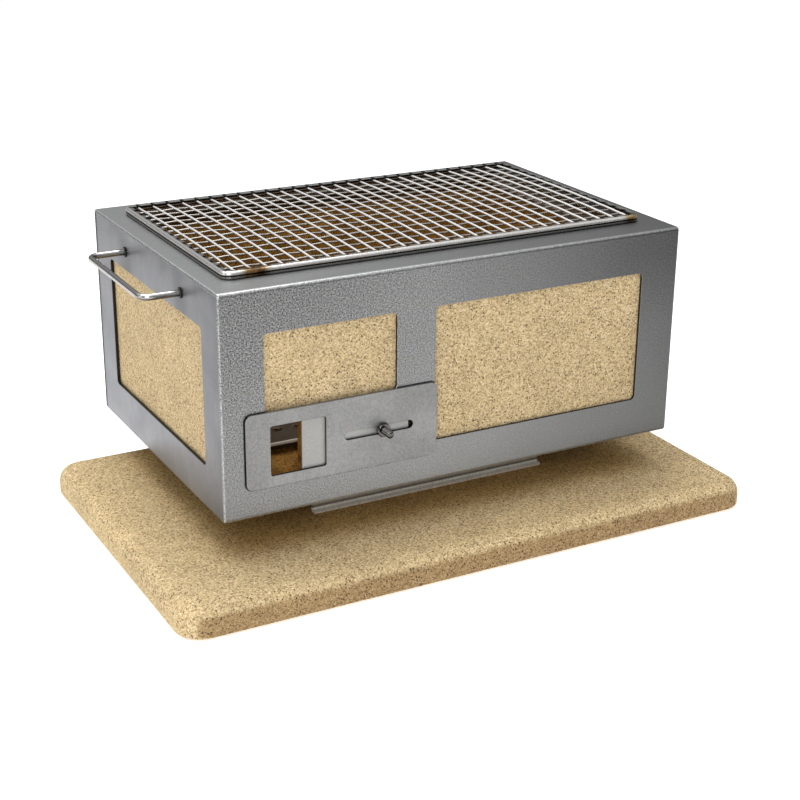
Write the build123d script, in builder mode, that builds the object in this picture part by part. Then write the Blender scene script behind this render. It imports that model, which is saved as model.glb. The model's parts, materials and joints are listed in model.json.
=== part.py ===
from build123d import *
import os

os.makedirs("parts", exist_ok=True)

# Table-top charcoal grill: a steel box lined with vermiculite board, on a loose base board.
# Origin: on the underside of the base board, below the centre of the steel box.
# +X runs along the front to the right, +Y to the back, +Z up. Millimetres.

# Base board
board_length = 500.0
board_depth = 304.0
board_thickness = 24.0
board_corner = 20.0
board_top_round = 13.0
board_bottom_round = 3.0
board_shift_x = -7.5
board_shift_y = -43.0

# Steel box
box_length = 400.0
box_depth = 266.0
box_height = 176.0
sheet = 2.5
bend = 3.0
inner_bend = 0.5
edge_round = 0.4
end_round = 1.8
foot_height = 31.0
half_length = box_length / 2
half_depth = box_depth / 2
box_bottom = board_thickness + foot_height
box_top = box_bottom + box_height
box_middle = box_bottom + box_height / 2
return_flange = 17.5
play = 0.05

# Top opening
opening_length = 347.0
opening_depth = 200.0
opening_corner = 4.0

# Windows in the steel, heights above the bottom of the box
window_low = 33.5
window_high = 142.0
window_corner = 3.5
right_window_left = -24.5
right_window_right = 165.5
left_window_left = -166.0
left_window_right = -57.5
left_window_low = 81.5
back_window_length = 149.0
back_window_offset = 91.5
side_window_depth = 197.0

# Air vent at the lower left of the front
vent_plate_left = -182.5
vent_plate_right = -23.5
vent_plate_low = 23.0
vent_plate_high = 82.5
vent_plate_corner = 5.5
vent_plate_thickness = 2.0
vent_left = -162.8
vent_right = -117.8
vent_low = 32.0
vent_high = 71.2
vent_corner = 1.5
slot_centre = -73.5
slot_length = 58.0
slot_height = 6.5
slot_level = 52.0
recess_left = -166.5
recess_right = -27.2
recess_low = 27.5
recess_high = 75.5
tunnel_left = -166.0
tunnel_right = -128.0
tunnel_height = 46.0

# Damper that slides in the recess behind the vent plate
stud_rest = -70.5
damper_reach = 66.2
damper_tail = 23.0
damper_low = 28.2
damper_high = 75.0
damper_thickness = 1.5
damper_gap = 0.25
damper_corner = 1.0
stud_radius = 3.0
stud_length = 15.5
stud_chamfer = 0.6
nut_width = 10.0
nut_height = 3.2
nut_gap = 0.15

# Vermiculite lining
side_recess = 0.4
panel_corner = 1.0
panel_trim = 0.1
panel_inner = half_length - side_recess - sheet
plate_thickness = 2.0
liner_end_gap = 0.6
liner_wall_gap = 0.3
liner_top_gap = 0.2
cavity_half_length = 173.0
cavity_half_depth = 106.0
floor_level = 27.0
liner_top = box_top - sheet - liner_top_gap
floor_top = box_bottom + floor_level
plate_bottom = box_bottom + sheet
plate_top = plate_bottom + plate_thickness

# Handles
handle_radius = 2.5
handle_bend = 8.0
handle_reach = 29.5
handle_half_span = 60.25
handle_level = box_bottom + 157.2
handle_end = 188.5
collar_radius = 4.2
collar_thickness = 1.2
collar_round = 0.5
handle_nut_width = 8.0
handle_nut_height = 4.0
pocket_radius = 7.0
pocket_depth = 10.0

# Ledges inside the two end walls
ledge_half_length = 100.0
ledge_width = 12.0
ledge_drop = 10.0
ledge_thickness = 2.0
ledge_top = box_bottom + 168.8
ledge_screw_drop = 6.5
ledge_screw_spacing = 80.0
screw_head_radius = 3.2
screw_head_height = 2.0
screw_radius = 1.6
screw_length = 14.0
screw_hole_spare = 1.0

# Feet
foot_length = 211.0
foot_sheet = 2.0
foot_web_front = 83.0
foot_lip = 4.5
foot_flange = 25.0
foot_round = 1.5

# Rivets
rivet_radius = 2.0
rivet_head_radius = 4.0
rivet_head_height = 1.6
rivet_head_round = 1.0
rivet_tail_radius = 3.2
rivet_tail_height = 1.5
rivet_pocket_radius = 4.5
rivet_pocket_depth = 2.5
flange_rivet_y = 124.0
flange_rivet_spacing = 100.0
foot_rivet_y = 70.5
foot_rivet_spacing = 80.0

# Charcoal grate
grate_length = 310.0
grate_depth = 176.0
grate_thickness = 2.0
grate_bottom = box_bottom + 34.5
grate_lip = 2.5
grate_corner = 3.0
grate_round = 1.5
grate_hole_radius = 4.5
grate_pitch = 18.0
grate_columns = 15
grate_rows = 8
grate_foot_radius = 4.0
grate_foot_x = 140.0
grate_foot_y = 73.0

# Cooking net
net_length = 365.0
net_depth = 212.0
net_shift_x = -1.0
net_shift_y = 0.5
rim_width = 5.5
rim_height = 6.0
rim_corner = 8.0
rim_inner_corner = 1.0
rim_round = 2.4
rim_groove_level = 2.3
rim_groove_height = 0.8
rim_groove_depth = 0.9
long_wire_radius = 0.85
cross_wire_radius = 0.8
long_wire_count = 28
long_wire_pitch = 12.75
cross_wire_count = 14
cross_wire_pitch = 13.5
wire_end_level = box_top + 4.2
wire_crown = 2.0
wire_bite = 2.6
wire_stack = 1.67
notch_play = 0.05
notch_width = 3.2
notch_depth = 2.7

net_half_inner_length = net_length / 2 - rim_width
net_half_inner_depth = net_depth / 2 - rim_width


def wire_level(y):
    """Height of a long wire's centre at this distance from the middle of the net."""
    reach = net_half_inner_depth + wire_bite
    return wire_end_level + wire_crown * (1 - (y / reach) ** 2)


cross_wire_offsets = []
for number in range(cross_wire_count):
    cross_wire_offsets.append((number - (cross_wire_count - 1) / 2) * cross_wire_pitch)


def is_outer_end_edge(edge):
    """True for the edges of the folded sheet's outer skin at its left and right ends."""
    middle = edge.center()
    at_end = abs(middle.X) > half_length - play
    on_wall = abs(middle.Y) > half_depth - sheet / 2
    on_top_or_bottom = abs(middle.Z - box_middle) > box_height / 2 - sheet / 2
    return at_end and (on_wall or on_top_or_bottom)


# Loose slab that the grill stands on
with BuildPart() as base_board:
    with BuildSketch() as board_outline:
        with Locations((board_shift_x, board_shift_y)):
            RectangleRounded(board_length, board_depth, board_corner)
    extrude(amount=board_thickness)
    fillet(base_board.edges().group_by(Axis.Z)[-1], board_top_round)
    fillet(base_board.edges().group_by(Axis.Z)[0], board_bottom_round)

# Front, top and back in one folded sheet, with a return flange along both bottom edges
with BuildPart() as casing_wrap:
    with BuildSketch(Plane.YZ.offset(-half_length)) as wrap_profile:
        with Locations((0, box_middle)):
            RectangleRounded(box_depth, box_height, bend)
            RectangleRounded(
                box_depth - 2 * sheet, box_height - 2 * sheet, inner_bend, mode=Mode.SUBTRACT
            )
        with Locations((0, box_bottom)):
            Rectangle(box_depth - 2 * return_flange, 4 * sheet, mode=Mode.SUBTRACT)
    extrude(amount=box_length)
    fillet(casing_wrap.edges().filter_by(is_outer_end_edge), end_round)
    with BuildSketch(Plane.XY.offset(box_top - 2 * sheet)) as top_opening:
        RectangleRounded(opening_length, opening_depth, opening_corner)
    extrude(amount=3 * sheet, mode=Mode.SUBTRACT)
    with BuildSketch(Plane.XZ.offset(half_depth - 2 * sheet)) as front_cuts:
        with Locations(
            (
                (right_window_left + right_window_right) / 2,
                box_bottom + (window_low + window_high) / 2,
            )
        ):
            RectangleRounded(
                right_window_right - right_window_left, window_high - window_low, window_corner
            )
        with Locations(
            (
                (left_window_left + left_window_right) / 2,
                box_bottom + (left_window_low + window_high) / 2,
            )
        ):
            RectangleRounded(
                left_window_right - left_window_left,
                window_high - left_window_low,
                window_corner,
            )
        with Locations(
            ((recess_left + recess_right) / 2, box_bottom + (recess_low + recess_high) / 2)
        ):
            RectangleRounded(
                recess_right - recess_left, recess_high - recess_low, inner_bend
            )
    extrude(amount=3 * sheet, mode=Mode.SUBTRACT)
    with BuildSketch(Plane.XZ.offset(-half_depth - sheet)) as back_cuts:
        with Locations(
            (-back_window_offset, box_bottom + (window_low + window_high) / 2),
            (back_window_offset, box_bottom + (window_low + window_high) / 2),
        ):
            RectangleRounded(back_window_length, window_high - window_low, window_corner)
    extrude(amount=3 * sheet, mode=Mode.SUBTRACT)
    front_face = casing_wrap.faces().filter_by(Axis.Y).sort_by(Axis.Y)[0]
    back_face = casing_wrap.faces().filter_by(Axis.Y).sort_by(Axis.Y)[-1]
    fillet(front_face.inner_wires().edges(), edge_round)
    fillet(back_face.inner_wires().edges(), edge_round)
    # room for the end panels at the ends of the return flanges
    with Locations((-half_length, 0, box_bottom), (half_length, 0, box_bottom)):
        Box(
            2 * (half_length - panel_inner + play),
            box_depth - 2 * sheet,
            2 * (sheet + inner_bend),
            mode=Mode.SUBTRACT,
        )
    with Locations((0, 0, box_bottom)):
        with GridLocations(flange_rivet_spacing, 2 * flange_rivet_y, 4, 2):
            Cylinder(rivet_radius + play, 4 * sheet, mode=Mode.SUBTRACT)


def build_side_panel(side):
    """End wall set just inside the folded sheet, with a window and two handle holes."""
    panel_half_depth = half_depth - sheet - play
    panel_top = box_top - sheet - play
    panel_bottom = box_bottom + panel_trim
    with BuildPart() as panel:
        with BuildSketch(Plane.YZ.offset(side * panel_inner)) as panel_outline:
            with Locations((0, (panel_top + panel_bottom) / 2)):
                RectangleRounded(
                    2 * panel_half_depth, panel_top - panel_bottom, panel_corner
                )
            with Locations((0, box_bottom + (window_low + window_high) / 2)):
                RectangleRounded(
                    side_window_depth,
                    window_high - window_low,
                    window_corner,
                    mode=Mode.SUBTRACT,
                )
        extrude(amount=side * sheet)
        outer_face = panel.faces().filter_by(Axis.X).sort_by(lambda face: side * face.center().X)[-1]
        fillet(outer_face.edges(), edge_round)
        with BuildSketch(Plane.YZ.offset(side * panel_inner)) as handle_holes:
            with Locations(
                (-handle_half_span, handle_level), (handle_half_span, handle_level)
            ):
                Circle(handle_radius + play)
        extrude(amount=side * sheet, mode=Mode.SUBTRACT)
    return panel


# Flat plate that closes the bottom and carries the feet
with BuildPart() as bottom_plate:
    with BuildSketch(Plane.XY.offset(plate_bottom)) as bottom_outline:
        Rectangle(2 * (panel_inner - play), box_depth - 2 * (sheet + inner_bend + play))
        with GridLocations(flange_rivet_spacing, 2 * flange_rivet_y, 4, 2):
            Circle(rivet_radius + play, mode=Mode.SUBTRACT)
        with GridLocations(foot_rivet_spacing, 2 * foot_rivet_y, 3, 2):
            Circle(rivet_radius + play, mode=Mode.SUBTRACT)
    extrude(amount=plate_thickness)

# Vermiculite lining: floor, front with the air tunnel, back and two ends
liner_half_length = panel_inner - liner_end_gap
liner_half_depth = half_depth - sheet - liner_wall_gap
with BuildPart() as floor_liner:
    with BuildSketch(Plane.XY.offset(plate_top)) as floor_outline:
        Rectangle(2 * liner_half_length, 2 * liner_half_depth)
    extrude(amount=floor_top - plate_top)
    with Locations((0, 0, plate_top)):
        with GridLocations(flange_rivet_spacing, 2 * flange_rivet_y, 4, 2):
            Cylinder(rivet_pocket_radius, 2 * rivet_pocket_depth, mode=Mode.SUBTRACT)
        with GridLocations(foot_rivet_spacing, 2 * foot_rivet_y, 3, 2):
            Cylinder(rivet_pocket_radius, 2 * rivet_pocket_depth, mode=Mode.SUBTRACT)

with BuildPart() as front_liner:
    with BuildSketch(Plane.XZ.offset(cavity_half_depth)) as front_liner_outline:
        with Locations((0, (floor_top + liner_top) / 2)):
            Rectangle(2 * liner_half_length, liner_top - floor_top)
        with Locations(((tunnel_left + tunnel_right) / 2, floor_top)):
            Rectangle(tunnel_right - tunnel_left, 2 * tunnel_height, mode=Mode.SUBTRACT)
    extrude(amount=liner_half_depth - cavity_half_depth)

with BuildPart() as back_liner:
    with BuildSketch(Plane.XZ.offset(-liner_half_depth)) as back_liner_outline:
        with Locations((0, (floor_top + liner_top) / 2)):
            Rectangle(2 * liner_half_length, liner_top - floor_top)
    extrude(amount=liner_half_depth - cavity_half_depth)


def build_end_liner(side):
    """End wall of the lining, with pockets for the handle nuts and ledge screws."""
    with BuildPart() as liner:
        with BuildSketch(Plane.YZ.offset(side * cavity_half_length)) as end_outline:
            with Locations((0, (floor_top + liner_top) / 2)):
                Rectangle(2 * (cavity_half_depth - play), liner_top - floor_top)
        extrude(amount=side * (liner_half_length - cavity_half_length))
        with BuildSketch(Plane.YZ.offset(side * liner_half_length)) as pocket_outline:
            with Locations(
                (-handle_half_span, handle_level), (handle_half_span, handle_level)
            ):
                Circle(pocket_radius)
        extrude(amount=-side * pocket_depth, mode=Mode.SUBTRACT)
        with BuildSketch(Plane.YZ.offset(side * cavity_half_length)) as screw_holes:
            with Locations((0, ledge_top - ledge_screw_drop)):
                with GridLocations(ledge_screw_spacing, 1, 3, 1):
                    Circle(screw_radius + play)
        extrude(amount=side * (screw_length + screw_hole_spare), mode=Mode.SUBTRACT)
    return liner


# Plate over the recess, with the air window and the slot for the damper's stud
vent_plate_middle = (vent_plate_left + vent_plate_right) / 2
vent_plate_height = box_bottom + (vent_plate_low + vent_plate_high) / 2
with BuildPart() as vent_plate:
    with BuildSketch(Plane.XZ.offset(half_depth)) as vent_plate_outline:
        with Locations((vent_plate_middle, vent_plate_height)):
            RectangleRounded(
                vent_plate_right - vent_plate_left,
                vent_plate_high - vent_plate_low,
                vent_plate_corner,
            )
        with Locations(((vent_left + vent_right) / 2, box_bottom + (vent_low + vent_high) / 2)):
            RectangleRounded(
                vent_right - vent_left, vent_high - vent_low, vent_corner, mode=Mode.SUBTRACT
            )
        with Locations((slot_centre, box_bottom + slot_level)):
            SlotOverall(slot_length, slot_height, mode=Mode.SUBTRACT)
    extrude(amount=vent_plate_thickness)
    fillet(vent_plate.faces().sort_by(Axis.Y)[0].edges(), edge_round)

# Sliding damper plate, behind the vent plate
damper_left = stud_rest - damper_reach
damper_right = stud_rest + damper_tail
damper_back = half_depth - damper_gap - damper_thickness
with BuildPart() as damper_plate:
    with BuildSketch(Plane.XZ.offset(damper_back)) as damper_outline:
        with Locations(
            ((damper_left + damper_right) / 2, box_bottom + (damper_low + damper_high) / 2)
        ):
            RectangleRounded(
                damper_right - damper_left, damper_high - damper_low, damper_corner
            )
    extrude(amount=damper_thickness)

# Threaded stud on the damper, standing out through the slot
stud_base = half_depth - damper_gap
with BuildPart() as damper_stud:
    with BuildSketch(Plane.XZ.offset(stud_base)) as stud_outline:
        with Locations((stud_rest, box_bottom + slot_level)):
            Circle(stud_radius)
    extrude(amount=half_depth + stud_length - stud_base)
    chamfer(damper_stud.edges().group_by(Axis.Y)[0], stud_chamfer)

# Hex nut that clamps the damper against the vent plate
nut_base = half_depth + vent_plate_thickness + nut_gap
with BuildPart() as damper_nut:
    with BuildSketch(Plane.XZ.offset(nut_base)) as damper_nut_outline:
        with Locations((stud_rest, box_bottom + slot_level)):
            RegularPolygon(nut_width / 2, 6, major_radius=False)
            Circle(stud_radius + play, mode=Mode.SUBTRACT)
    extrude(amount=nut_height)


def build_handle(side):
    """Round bar bent into a U, its two legs passing through the end panel."""
    inner = side * handle_end
    outer = side * (half_length + handle_reach)
    with BuildPart() as handle:
        with BuildLine() as handle_path:
            FilletPolyline(
                (inner, -handle_half_span, handle_level),
                (outer, -handle_half_span, handle_level),
                (outer, handle_half_span, handle_level),
                (inner, handle_half_span, handle_level),
                radius=handle_bend,
            )
        with BuildSketch(Plane.YZ.offset(inner)) as handle_section:
            with Locations((-handle_half_span, handle_level)):
                Circle(handle_radius)
        sweep(path=handle_path.wires()[0])
    return handle


# Round collars where the handle legs meet the end panels
panel_outer = panel_inner + sheet
with BuildPart() as handle_collars:
    for side in (-1, 1):
        collar_middle = side * (panel_outer + collar_thickness / 2)
        with Locations(
            Location((collar_middle, -handle_half_span, handle_level), (0, 90, 0)),
            Location((collar_middle, handle_half_span, handle_level), (0, 90, 0)),
        ):
            Cylinder(collar_radius, collar_thickness)
            Cylinder(handle_radius + play, collar_thickness, mode=Mode.SUBTRACT)
    fillet(handle_collars.edges().group_by(Axis.X)[0], collar_round)
    fillet(handle_collars.edges().group_by(Axis.X)[-1], collar_round)

# Hex nuts inside the end panels, one on each handle leg
with BuildPart() as handle_nuts:
    for side in (-1, 1):
        nut_start = side * panel_inner
        with BuildSketch(Plane.YZ.offset(nut_start)) as handle_nut_outline:
            with Locations(
                (-handle_half_span, handle_level), (handle_half_span, handle_level)
            ):
                RegularPolygon(handle_nut_width / 2, 6, major_radius=False)
                Circle(handle_radius + play, mode=Mode.SUBTRACT)
        extrude(amount=-side * handle_nut_height)


def build_ledge(side):
    """Angle strip along an end wall, just below the net."""
    with BuildPart() as ledge:
        with BuildSketch(Plane.XZ.offset(-ledge_half_length)) as ledge_profile:
            with Locations((cavity_half_length, ledge_top)):
                Rectangle(ledge_width, ledge_thickness, align=(Align.MAX, Align.MAX))
                Rectangle(ledge_thickness, ledge_drop, align=(Align.MAX, Align.MAX))
        extrude(amount=2 * ledge_half_length)
        with BuildSketch(Plane.YZ.offset(cavity_half_length)) as ledge_holes:
            with Locations((0, ledge_top - ledge_screw_drop)):
                with GridLocations(ledge_screw_spacing, 1, 3, 1):
                    Circle(screw_radius + play)
        extrude(amount=-ledge_thickness, mode=Mode.SUBTRACT)
        if side < 0:
            mirror(about=Plane.YZ, mode=Mode.REPLACE)
    return ledge


# Screws that hold the ledges to the lining
with BuildPart() as ledge_screws:
    for side in (-1, 1):
        head_base = side * (cavity_half_length - ledge_thickness)
        with BuildSketch(Plane.YZ.offset(head_base)) as screw_head_outline:
            with Locations((0, ledge_top - ledge_screw_drop)):
                with GridLocations(ledge_screw_spacing, 1, 3, 1):
                    Circle(screw_head_radius)
        extrude(amount=-side * screw_head_height)
        with BuildSketch(Plane.YZ.offset(head_base)) as screw_shank_outline:
            with Locations((0, ledge_top - ledge_screw_drop)):
                with GridLocations(ledge_screw_spacing, 1, 3, 1):
                    Circle(screw_radius)
        extrude(amount=side * (ledge_thickness + screw_length))


def build_foot(side):
    """Folded strip: a flange under the bottom plate, an upright web and a short outward lip."""
    with BuildPart() as foot:
        with BuildSketch(Plane.YZ.offset(-foot_length / 2)) as foot_profile:
            with Locations((foot_web_front, board_thickness)):
                Rectangle(
                    foot_sheet, plate_bottom - board_thickness, align=(Align.MAX, Align.MIN)
                )
            with Locations((foot_web_front - foot_sheet, board_thickness)):
                Rectangle(foot_lip + foot_sheet, foot_sheet, align=(Align.MIN, Align.MIN))
            with Locations((foot_web_front, plate_bottom)):
                Rectangle(foot_flange, foot_sheet, align=(Align.MAX, Align.MAX))
        extrude(amount=foot_length)
        fillet(foot.edges().filter_by(Axis.X).group_by(Axis.Z)[0].sort_by(Axis.Y)[0], foot_round)
        with Locations((0, foot_rivet_y, plate_bottom)):
            with GridLocations(foot_rivet_spacing, 1, 3, 1):
                Cylinder(rivet_radius + play, 4 * foot_sheet, mode=Mode.SUBTRACT)
        if side < 0:
            mirror(about=Plane.XZ, mode=Mode.REPLACE)
    return foot


# Rivets between the return flanges and the bottom plate
with BuildPart() as bottom_rivets:
    with Locations((0, 0, box_bottom)):
        with GridLocations(flange_rivet_spacing, 2 * flange_rivet_y, 4, 2):
            Cylinder(
                rivet_head_radius,
                rivet_head_height,
                align=(Align.CENTER, Align.CENTER, Align.MAX),
            )
            Cylinder(
                rivet_radius,
                sheet + plate_thickness,
                align=(Align.CENTER, Align.CENTER, Align.MIN),
            )
    with Locations((0, 0, plate_top)):
        with GridLocations(flange_rivet_spacing, 2 * flange_rivet_y, 4, 2):
            Cylinder(
                rivet_tail_radius,
                rivet_tail_height,
                align=(Align.CENTER, Align.CENTER, Align.MIN),
            )
    fillet(bottom_rivets.edges().group_by(Axis.Z)[0], rivet_head_round)

# Rivets between the feet and the bottom plate
with BuildPart() as foot_rivets:
    with Locations((0, 0, plate_bottom - foot_sheet)):
        with GridLocations(foot_rivet_spacing, 2 * foot_rivet_y, 3, 2):
            Cylinder(
                rivet_head_radius,
                rivet_head_height,
                align=(Align.CENTER, Align.CENTER, Align.MAX),
            )
            Cylinder(
                rivet_radius,
                foot_sheet + plate_thickness,
                align=(Align.CENTER, Align.CENTER, Align.MIN),
            )
    with Locations((0, 0, plate_top)):
        with GridLocations(foot_rivet_spacing, 2 * foot_rivet_y, 3, 2):
            Cylinder(
                rivet_tail_radius,
                rivet_tail_height,
                align=(Align.CENTER, Align.CENTER, Align.MIN),
            )
    fillet(foot_rivets.edges().group_by(Axis.Z)[0], rivet_head_round)

# Perforated plate with a turned-down edge that holds the charcoal off the floor
with BuildPart() as charcoal_grate:
    with BuildSketch(Plane.XY.offset(grate_bottom - grate_lip)) as grate_edge:
        RectangleRounded(grate_length, grate_depth, grate_corner)
    extrude(amount=grate_lip + grate_thickness)
    fillet(charcoal_grate.edges().group_by(Axis.Z)[-1], grate_round)
    with BuildSketch(Plane.XY.offset(grate_bottom - grate_lip)) as grate_hollow:
        RectangleRounded(
            grate_length - 2 * grate_thickness,
            grate_depth - 2 * grate_thickness,
            grate_corner - grate_round,
        )
    extrude(amount=grate_lip, mode=Mode.SUBTRACT)
    with BuildSketch(Plane.XY.offset(grate_bottom)) as grate_holes:
        with GridLocations(grate_pitch, grate_pitch, grate_columns, grate_rows):
            Circle(grate_hole_radius)
    extrude(amount=2 * grate_thickness, mode=Mode.SUBTRACT)

# Short posts under the grate
with BuildPart() as grate_feet:
    with Locations((0, 0, floor_top)):
        with GridLocations(grate_foot_x, 2 * grate_foot_y, 3, 2):
            Cylinder(
                grate_foot_radius,
                grate_bottom - floor_top,
                align=(Align.CENTER, Align.CENTER, Align.MIN),
            )

# Folded rim of the cooking net, grooved on its outer side and notched where the wires enter
with BuildPart() as net_rim:
    with BuildSketch(Plane.XY.offset(box_top)) as rim_outline:
        with Locations((net_shift_x, net_shift_y)):
            RectangleRounded(net_length, net_depth, rim_corner)
    extrude(amount=rim_height)
    fillet(net_rim.edges().group_by(Axis.Z)[-1], rim_round)
    fillet(net_rim.edges().group_by(Axis.Z)[0], rim_round / 2)
    with BuildSketch(Plane.XY.offset(box_top)) as rim_inside:
        with Locations((net_shift_x, net_shift_y)):
            RectangleRounded(
                2 * net_half_inner_length, 2 * net_half_inner_depth, rim_inner_corner
            )
    extrude(amount=rim_height, mode=Mode.SUBTRACT)
    with BuildSketch(Plane.XY.offset(box_top + rim_groove_level)) as rim_groove:
        with Locations((net_shift_x, net_shift_y)):
            RectangleRounded(net_length, net_depth, rim_corner)
            RectangleRounded(
                net_length - 2 * rim_groove_depth,
                net_depth - 2 * rim_groove_depth,
                rim_corner - rim_groove_depth,
                mode=Mode.SUBTRACT,
            )
    extrude(amount=rim_groove_height, mode=Mode.SUBTRACT)
    rim_top = box_top + rim_height
    notch_floor = wire_end_level - long_wire_radius - notch_play
    with Locations((0, net_shift_y, (rim_top + notch_floor) / 2)):
        with GridLocations(
            long_wire_pitch, 2 * net_half_inner_depth, long_wire_count, 2
        ):
            Box(notch_width, 2 * notch_depth, rim_top - notch_floor, mode=Mode.SUBTRACT)
    for offset in cross_wire_offsets:
        notch_floor = wire_level(offset) - wire_stack - cross_wire_radius - notch_play
        with Locations(
            (
                net_shift_x - net_half_inner_length,
                net_shift_y + offset,
                (rim_top + notch_floor) / 2,
            ),
            (
                net_shift_x + net_half_inner_length,
                net_shift_y + offset,
                (rim_top + notch_floor) / 2,
            ),
        ):
            Box(2 * notch_depth, notch_width, rim_top - notch_floor, mode=Mode.SUBTRACT)

# Wires from front to back, slightly crowned towards the middle of the net
wire_reach = net_half_inner_depth + wire_bite
with BuildPart() as one_long_wire:
    with BuildLine() as long_wire_path:
        ThreePointArc(
            (0, net_shift_y - wire_reach, wire_end_level),
            (0, net_shift_y, wire_end_level + wire_crown),
            (0, net_shift_y + wire_reach, wire_end_level),
        )
    with BuildSketch(Plane.XZ.offset(wire_reach - net_shift_y)) as long_wire_section:
        with Locations((0, wire_end_level)):
            Circle(long_wire_radius)
    sweep(path=long_wire_path.wires()[0])

with BuildPart() as net_long_wires:
    with GridLocations(long_wire_pitch, 1, long_wire_count, 1):
        add(one_long_wire.part)

# Wires from side to side, just below the long ones
with BuildPart() as net_cross_wires:
    for offset in cross_wire_offsets:
        level = wire_level(offset) - wire_stack
        with Locations(Location((net_shift_x, net_shift_y + offset, level), (0, 90, 0))):
            Cylinder(cross_wire_radius, 2 * (net_half_inner_length + wire_bite))

sub_parts = {
    "base_board": base_board,
    "casing_wrap": casing_wrap,
    "left_side_panel": build_side_panel(-1),
    "right_side_panel": build_side_panel(1),
    "bottom_plate": bottom_plate,
    "floor_liner": floor_liner,
    "front_liner": front_liner,
    "back_liner": back_liner,
    "left_liner": build_end_liner(-1),
    "right_liner": build_end_liner(1),
    "vent_plate": vent_plate,
    "damper_plate": damper_plate,
    "damper_stud": damper_stud,
    "damper_nut": damper_nut,
    "left_handle": build_handle(-1),
    "right_handle": build_handle(1),
    "handle_collars": handle_collars,
    "handle_nuts": handle_nuts,
    "left_ledge": build_ledge(-1),
    "right_ledge": build_ledge(1),
    "ledge_screws": ledge_screws,
    "front_foot": build_foot(-1),
    "rear_foot": build_foot(1),
    "bottom_rivets": bottom_rivets,
    "foot_rivets": foot_rivets,
    "charcoal_grate": charcoal_grate,
    "grate_feet": grate_feet,
    "net_rim": net_rim,
    "net_long_wires": net_long_wires,
    "net_cross_wires": net_cross_wires,
}
for name, sub_part in sub_parts.items():
    sub_part.part.label = name
    export_step(sub_part.part, "parts/" + name + ".step")
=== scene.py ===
import json
import math

import bmesh
import bpy
from mathutils import Matrix, Vector, noise


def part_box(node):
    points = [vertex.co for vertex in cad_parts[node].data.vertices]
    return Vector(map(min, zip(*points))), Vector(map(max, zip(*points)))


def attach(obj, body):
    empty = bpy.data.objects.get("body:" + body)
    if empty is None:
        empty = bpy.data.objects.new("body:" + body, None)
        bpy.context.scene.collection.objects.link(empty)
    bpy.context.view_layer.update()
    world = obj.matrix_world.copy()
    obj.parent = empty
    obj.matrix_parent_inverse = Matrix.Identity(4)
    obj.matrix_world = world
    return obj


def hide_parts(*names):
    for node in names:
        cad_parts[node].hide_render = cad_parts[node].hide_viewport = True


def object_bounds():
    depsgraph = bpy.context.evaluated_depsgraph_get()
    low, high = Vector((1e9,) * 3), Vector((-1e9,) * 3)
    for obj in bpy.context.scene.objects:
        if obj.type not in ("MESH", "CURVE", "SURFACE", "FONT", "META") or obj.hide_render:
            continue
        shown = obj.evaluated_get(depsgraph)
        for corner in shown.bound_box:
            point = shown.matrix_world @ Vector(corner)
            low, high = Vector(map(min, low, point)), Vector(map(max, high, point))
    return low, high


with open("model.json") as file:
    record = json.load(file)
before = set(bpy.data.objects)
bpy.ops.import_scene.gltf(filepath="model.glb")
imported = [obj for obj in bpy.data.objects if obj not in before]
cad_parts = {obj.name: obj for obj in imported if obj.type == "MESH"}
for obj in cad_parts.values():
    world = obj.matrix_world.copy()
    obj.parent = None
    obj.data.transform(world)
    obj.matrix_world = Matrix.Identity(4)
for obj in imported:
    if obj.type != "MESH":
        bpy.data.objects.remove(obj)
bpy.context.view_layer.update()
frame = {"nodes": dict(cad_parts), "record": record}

MM = 0.001
NODES = frame["nodes"]

# Camera, solved from the straight edges of the steel box
CAMERA_PLACE = Vector((-0.59525, -1.12210, 0.56736))
CAMERA_AZIMUTH = math.radians(28.65)
CAMERA_ELEVATION = math.radians(21.33)
CAMERA_ROLL = math.radians(0.523)
CAMERA_LENS = 72.05
CAMERA_SENSOR = 36.0

# Cooking net
LONG_WIRES = 28
LONG_PITCH = 12.75 * MM
FIRST_LONG_WIRE = -(LONG_WIRES - 1) / 2 * LONG_PITCH
CROSS_WIRES = 14
CROSS_PITCH = 13.5 * MM
CROSS_HALF_SPAN = (CROSS_WIRES - 1) / 2 * CROSS_PITCH
LONG_WIRE_RADIUS = 0.85 * MM
CROSS_WIRE_RADIUS = 0.80 * MM
LONG_CRIMP = 0.06 * MM
CROSS_CRIMP = 0.22 * MM
LONG_END_FADE = 6 * MM
CROSS_END_FADE = 8 * MM
LONG_LEAN = 0.25 * MM
NET_CROWN = 2.0 * MM
RIM_WIDTH = 5.5 * MM
HOOK_DROP = 1.7 * MM
HOOK_LENGTH = 7.0 * MM
KNOB_RADIUS = 1.25 * MM
KNOB_STEPS = 8
WIRE_SIDES = 10
STEPS_PER_SPAN = 6

# The space around the fire, just inside the lining's faces
FIRE_HALF_LENGTH = 173.2 * MM
FIRE_FRONT = -129.6 * MM
FIRE_BACK = 106.2 * MM
FIRE_FLOOR = 81.5 * MM

# Base board: the mesh's cell, the rough band along its edge, and its fine and broad lumps
BOARD_CELL = 2.4 * MM
ROUGH_BAND = 12 * MM
FINE_LUMP = 3.5 * MM
BROAD_LUMP = 16 * MM

# Other parts
VENT_PLATE_CORNER = 5.5 * MM
HANDLE_RADIUS = 2.5 * MM
HANDLE_BEND = 8.0 * MM
ROUND_SIDES = 28
NUT_HOLE_RADIUS = 3.0 * MM
NUT_CHAMFER = 0.7 * MM
NUT_TURNS = 72
THREAD_PITCH = 1.0 * MM
THREAD_DEPTH = 0.50 * MM
STUD_CHAMFER = 0.9 * MM
# how much farther a hexagon's corner is from its middle than a flat is, as a share
HEX_CORNER = 0.1547

# Materials
WHITE = (1.0, 1.0, 1.0)
NOISE_LOW, NOISE_HIGH = 0.3, 0.7

# Studio
FLOOR_HALF_SIDE = 40.0
LIGHT_TARGET = (0.0, 0.0, 0.12)


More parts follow.
